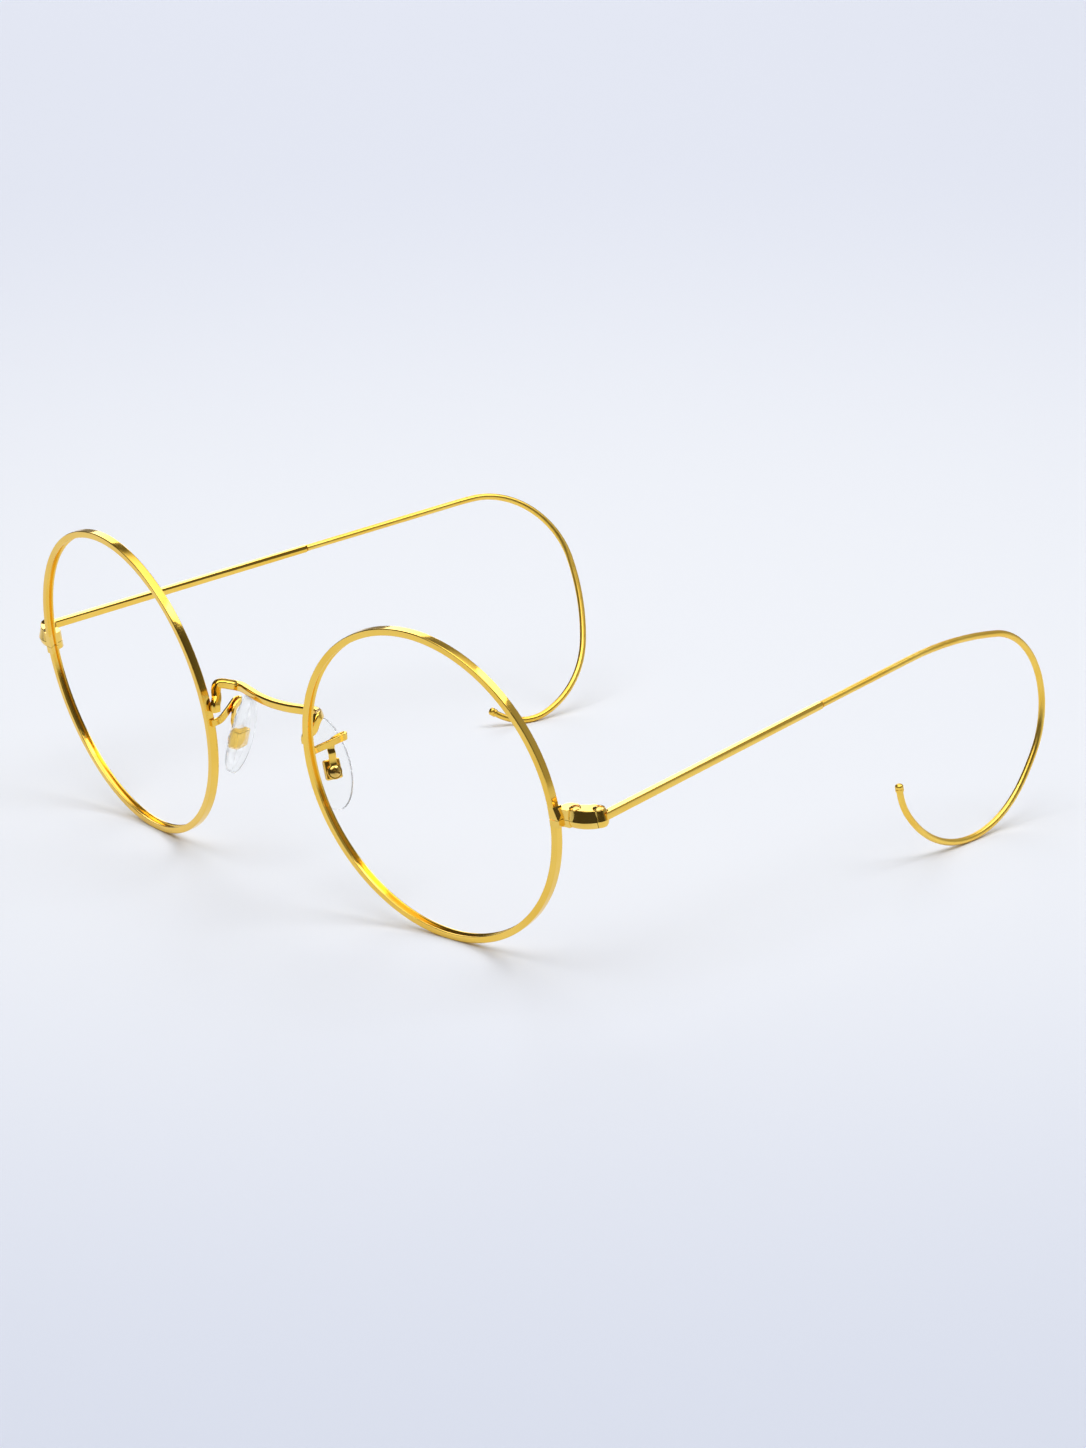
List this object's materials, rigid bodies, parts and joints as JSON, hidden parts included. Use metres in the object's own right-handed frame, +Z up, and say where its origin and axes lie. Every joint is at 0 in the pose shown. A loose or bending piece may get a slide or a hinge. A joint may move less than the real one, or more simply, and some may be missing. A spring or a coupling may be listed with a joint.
{
  "type": "eyeglass frame",
  "caption": "Round thin-rimmed metal eyeglass frame with curl temples, screwed end pieces, saddle bridge and clear nose pads.",
  "frame": {"origin": "centre of the overall box, on the table that the frame stands on", "axes": "+X to the wearer's left, +Y from the front to the ear ends of the temples, +Z up from the table"},
  "size_m": [0.1308, 0.1109, 0.0476],
  "materials": {
    "gold_plate": "polished gold plate",
    "screw_gold": "turned and gold plated",
    "clear_pad": "clear, moulded"
  },
  "bodies": {
    "root": {"bridge": "gold_plate", "rim_left": "gold_plate", "rim_right": "gold_plate", "end_piece_upper_left": "gold_plate", "end_piece_upper_right": "gold_plate", "end_piece_lower_left": "gold_plate", "end_piece_lower_right": "gold_plate", "closing_screw_left": "screw_gold", "closing_screw_right": "screw_gold", "hinge_screw_left": "screw_gold", "hinge_screw_right": "screw_gold", "pad_arm_left": "gold_plate", "pad_arm_right": "gold_plate", "pad_screw_left": "screw_gold", "pad_screw_right": "screw_gold"},
    "temple_left": {"temple_stem_left": "gold_plate", "curl_wire_left": "gold_plate", "tip_bead_left": "gold_plate"},
    "temple_right": {"temple_stem_right": "gold_plate", "curl_wire_right": "gold_plate", "tip_bead_right": "gold_plate"},
    "pad_left": {"pad_insert_left": "gold_plate", "nose_pad_left": "clear_pad"},
    "pad_right": {"pad_insert_right": "gold_plate", "nose_pad_right": "clear_pad"}
  },
  "joints": [
    {"name": "temple_left_hinge", "type": "hinge", "parent": "root", "child": "temple_left", "pos_m": [0.06407, -0.04383, 0.02479], "axis": [0, -0.1611, 0.9869], "range_deg": [0, 79]},
    {"name": "temple_right_hinge", "type": "hinge", "parent": "root", "child": "temple_right", "pos_m": [-0.06407, -0.04383, 0.02479], "axis": [0, 0.1611, -0.9869], "range_deg": [0, 70]},
    {"name": "pad_left_rock", "type": "hinge", "parent": "root", "child": "pad_left", "pos_m": [0.01188, -0.04853, 0.02018], "axis": [0.8927, -0.3341, 0.3025], "range_deg": [-6, 6]},
    {"name": "pad_right_rock", "type": "hinge", "parent": "root", "child": "pad_right", "pos_m": [-0.01188, -0.04853, 0.02018], "axis": [0.8927, 0.3341, -0.3025], "range_deg": [-6, 6]}
  ]
}
